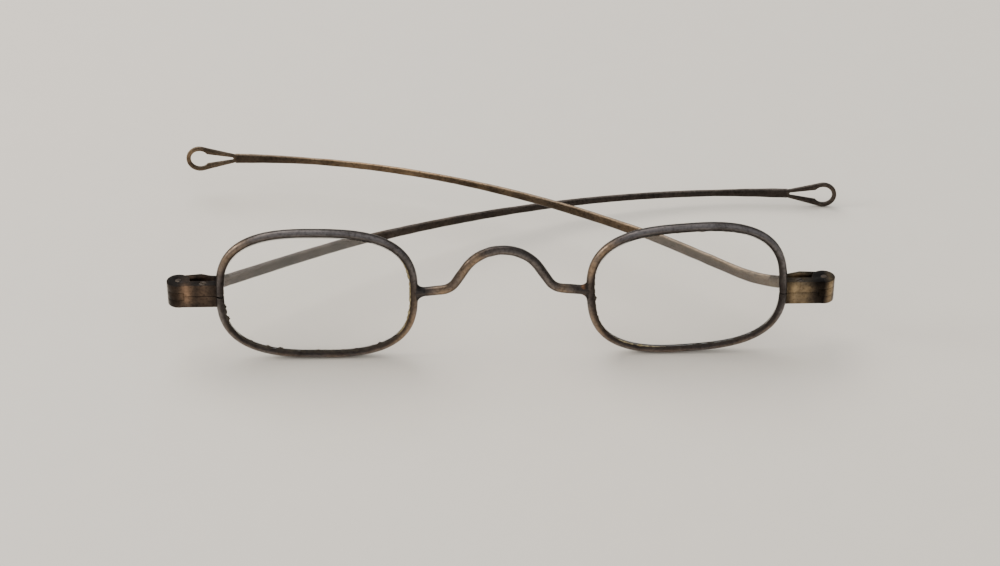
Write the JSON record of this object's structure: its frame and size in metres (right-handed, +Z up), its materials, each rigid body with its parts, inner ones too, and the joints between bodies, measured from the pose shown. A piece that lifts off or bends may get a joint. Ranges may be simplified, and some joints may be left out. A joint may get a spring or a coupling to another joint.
{
  "type": "folding wire eyeglasses",
  "caption": "Antique steel wire eyeglasses with rounded-rectangle lenses, an arched bridge, screw-closed hinge blocks and folding temples that end in ribbon loops.",
  "frame": {"origin": "middle of the standing object's footprint box, on the table", "axes": "+X to the right as seen from the front, +Y from the front towards the folded temples, +Z up"},
  "size_m": [0.119, 0.0464, 0.0254],
  "materials": {
    "eyewire_steel": "old blackened steel with a brown patina and worn bronze edges",
    "bridge_steel": "old blackened steel with bronze wear on the arch",
    "braze": "dull brass braze",
    "hinge_steel": "filed steel block, dark patina, worn edges",
    "screw_steel": "dark steel, slotted and burnished",
    "temple_dark_steel": "grey-black oxidised steel",
    "temple_bronze_steel": "steel with a warm bronze patina",
    "lens_glass": "clear old glass, slightly hazy, with grime at the rim"
  },
  "bodies": {
    "front": {"left_rim": "eyewire_steel", "right_rim": "eyewire_steel", "left_lens": "lens_glass", "right_lens": "lens_glass", "bridge": "bridge_steel", "left_bridge_braze": "braze", "right_bridge_braze": "braze", "left_upper_endpiece": "hinge_steel", "right_upper_endpiece": "hinge_steel", "left_lower_endpiece": "hinge_steel", "right_lower_endpiece": "hinge_steel", "left_closing_screw": "screw_steel", "right_closing_screw": "screw_steel", "left_hinge_pin": "screw_steel", "right_hinge_pin": "screw_steel"},
    "left_temple_arm": {"left_temple_joint": "temple_dark_steel", "left_temple": "temple_dark_steel"},
    "right_temple_arm": {"right_temple_joint": "temple_bronze_steel", "right_temple": "temple_bronze_steel"}
  },
  "joints": [
    {"name": "left_temple_hinge", "type": "hinge", "parent": "front", "child": "left_temple_arm", "pos_m": [-0.0574, -0.01896, 0.01237], "axis": [0, 0.1685, 0.9857], "range_deg": [-8, 80]},
    {"name": "right_temple_hinge", "type": "hinge", "parent": "front", "child": "right_temple_arm", "pos_m": [0.0516, -0.01913, 0.01138], "axis": [0, -0.1685, -0.9857], "range_deg": [-4, 80]}
  ]
}
